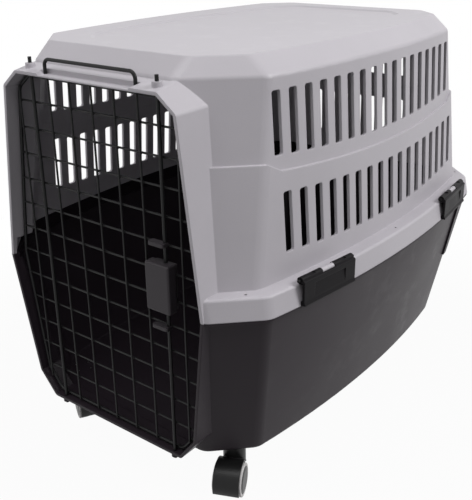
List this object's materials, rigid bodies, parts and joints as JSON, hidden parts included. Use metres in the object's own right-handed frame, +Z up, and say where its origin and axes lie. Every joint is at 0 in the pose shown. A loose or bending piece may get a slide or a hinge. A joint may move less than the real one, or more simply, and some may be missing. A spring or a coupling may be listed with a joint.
{
  "type": "pet carrier",
  "caption": "Two-part moulded pet carrier with vented walls, a hinged wire door with a squeeze latch, side clips and swivel twin-wheel casters.",
  "frame": {"origin": "on the floor under the middle of the carrier's bounding box", "axes": "+Z up, -Y out of the door, +X to the latch side of the door"},
  "size_m": [0.5622, 0.752, 0.634],
  "materials": {
    "shell_grey": "satin",
    "base_charcoal": "satin",
    "black_plastic": "satin",
    "latch_charcoal": "satin",
    "black_wire": "coated",
    "zinc_steel": "plated",
    "tyre_grey": "matte"
  },
  "bodies": {
    "carrier": {"top_shell": "shell_grey", "base_shell": "base_charcoal", "grab_handle": "black_wire", "handle_collars": "zinc_steel", "clip_hinge_pins": "black_wire", "caster_screws": "zinc_steel", "caster_mount_front_right": "zinc_steel", "caster_mount_front_left": "zinc_steel", "caster_mount_rear_right": "zinc_steel", "caster_mount_rear_left": "zinc_steel"},
    "door": {"door_frame": "black_wire", "door_upright_wires": "black_wire", "door_cross_wires": "black_wire", "door_hinge_rod": "black_wire", "latch_housing": "latch_charcoal", "latch_back_plate": "latch_charcoal", "latch_screws": "zinc_steel", "upper_latch_spring": "zinc_steel", "lower_latch_spring": "zinc_steel"},
    "upper_latch": {"upper_latch_rod": "black_wire", "upper_finger_tab": "latch_charcoal"},
    "lower_latch": {"lower_latch_rod": "black_wire", "lower_finger_tab": "latch_charcoal"},
    "clip_front_right": {"clip_front_right": "black_plastic"},
    "clip_rear_right": {"clip_rear_right": "black_plastic"},
    "clip_front_left": {"clip_front_left": "black_plastic"},
    "clip_rear_left": {"clip_rear_left": "black_plastic"},
    "swivel_front_right": {"caster_hood_front_right": "black_plastic", "caster_axle_front_right": "zinc_steel"},
    "wheel_front_right_a": {"wheel_hub_front_right_a": "black_plastic", "tyre_front_right_a": "tyre_grey"},
    "wheel_front_right_b": {"wheel_hub_front_right_b": "black_plastic", "tyre_front_right_b": "tyre_grey"},
    "swivel_front_left": {"caster_hood_front_left": "black_plastic", "caster_axle_front_left": "zinc_steel"},
    "wheel_front_left_a": {"wheel_hub_front_left_a": "black_plastic", "tyre_front_left_a": "tyre_grey"},
    "wheel_front_left_b": {"wheel_hub_front_left_b": "black_plastic", "tyre_front_left_b": "tyre_grey"},
    "swivel_rear_right": {"caster_hood_rear_right": "black_plastic", "caster_axle_rear_right": "zinc_steel"},
    "wheel_rear_right_a": {"wheel_hub_rear_right_a": "black_plastic", "tyre_rear_right_a": "tyre_grey"},
    "wheel_rear_right_b": {"wheel_hub_rear_right_b": "black_plastic", "tyre_rear_right_b": "tyre_grey"},
    "swivel_rear_left": {"caster_hood_rear_left": "black_plastic", "caster_axle_rear_left": "zinc_steel"},
    "wheel_rear_left_a": {"wheel_hub_rear_left_a": "black_plastic", "tyre_rear_left_a": "tyre_grey"},
    "wheel_rear_left_b": {"wheel_hub_rear_left_b": "black_plastic", "tyre_rear_left_b": "tyre_grey"}
  },
  "joints": [
    {"name": "door_swing", "type": "hinge", "parent": "carrier", "child": "door", "pos_m": [-0.1155, -0.36105, 0.315], "axis": [0, 0, -1], "range_deg": [0, 120]},
    {"name": "upper_latch_slide", "type": "slide", "parent": "door", "child": "upper_latch", "axis": [0, 0, -1], "range_m": [0, 0.0225], "stiffness_N_per_m": 250, "springref_m": -0.01, "deforming": ["upper_latch_spring"]},
    {"name": "lower_latch_slide", "type": "slide", "parent": "door", "child": "lower_latch", "axis": [0, 0, 1], "range_m": [0, 0.0225], "stiffness_N_per_m": 250, "springref_m": -0.01, "deforming": ["lower_latch_spring"]},
    {"name": "clip_front_right_swing", "type": "hinge", "parent": "carrier", "child": "clip_front_right", "pos_m": [0.26536, -0.20354, 0.3505], "axis": [-0.114, -0.9935, 0], "range_deg": [0, 115]},
    {"name": "clip_rear_right_swing", "type": "hinge", "parent": "carrier", "child": "clip_rear_right", "pos_m": [0.26536, 0.20354, 0.3505], "axis": [0.114, -0.9935, 0], "range_deg": [0, 115]},
    {"name": "clip_front_left_swing", "type": "hinge", "parent": "carrier", "child": "clip_front_left", "pos_m": [-0.26536, -0.20354, 0.3505], "axis": [-0.114, 0.9935, 0], "range_deg": [0, 115]},
    {"name": "clip_rear_left_swing", "type": "hinge", "parent": "carrier", "child": "clip_rear_left", "pos_m": [-0.26536, 0.20354, 0.3505], "axis": [0.114, 0.9935, 0], "range_deg": [0, 115]},
    {"name": "swivel_front_right", "type": "hinge", "parent": "carrier", "child": "swivel_front_right", "pos_m": [0.165, -0.282, 0.074], "axis": [0, 0, 1], "continuous": true},
    {"name": "wheel_front_right_a_spin", "type": "hinge", "parent": "swivel_front_right", "child": "wheel_front_right_a", "pos_m": [0.17639, -0.30758, 0.025], "axis": [0.9135, 0.4067, 0], "continuous": true},
    {"name": "wheel_front_right_b_spin", "type": "hinge", "parent": "swivel_front_right", "child": "wheel_front_right_b", "pos_m": [0.17639, -0.30758, 0.025], "axis": [0.9135, 0.4067, 0], "continuous": true},
    {"name": "swivel_front_left", "type": "hinge", "parent": "carrier", "child": "swivel_front_left", "pos_m": [-0.165, -0.282, 0.074], "axis": [0, 0, 1], "continuous": true},
    {"name": "wheel_front_left_a_spin", "type": "hinge", "parent": "swivel_front_left", "child": "wheel_front_left_a", "pos_m": [-0.14075, -0.296, 0.025], "axis": [0.5, 0.866, 0], "continuous": true},
    {"name": "wheel_front_left_b_spin", "type": "hinge", "parent": "swivel_front_left", "child": "wheel_front_left_b", "pos_m": [-0.14075, -0.296, 0.025], "axis": [0.5, 0.866, 0], "continuous": true},
    {"name": "swivel_rear_right", "type": "hinge", "parent": "carrier", "child": "swivel_rear_right", "pos_m": [0.165, 0.282, 0.074], "axis": [0, 0, 1], "continuous": true},
    {"name": "wheel_rear_right_a_spin", "type": "hinge", "parent": "swivel_rear_right", "child": "wheel_rear_right_a", "pos_m": [0.13795, 0.28925, 0.025], "axis": [-0.2588, -0.9659, 0], "continuous": true},
    {"name": "wheel_rear_right_b_spin", "type": "hinge", "parent": "swivel_rear_right", "child": "wheel_rear_right_b", "pos_m": [0.13795, 0.28925, 0.025], "axis": [-0.2588, -0.9659, 0], "continuous": true},
    {"name": "swivel_rear_left", "type": "hinge", "parent": "carrier", "child": "swivel_rear_left", "pos_m": [-0.165, 0.282, 0.074], "axis": [0, 0, 1], "continuous": true},
    {"name": "wheel_rear_left_a_spin", "type": "hinge", "parent": "swivel_rear_left", "child": "wheel_rear_left_a", "pos_m": [-0.18925, 0.296, 0.025], "axis": [-0.5, -0.866, 0], "continuous": true},
    {"name": "wheel_rear_left_b_spin", "type": "hinge", "parent": "swivel_rear_left", "child": "wheel_rear_left_b", "pos_m": [-0.18925, 0.296, 0.025], "axis": [-0.5, -0.866, 0], "continuous": true}
  ],
  "couplings": [
    {"joint": "lower_latch_slide", "follows": "upper_latch_slide", "ratio": 1}
  ]
}
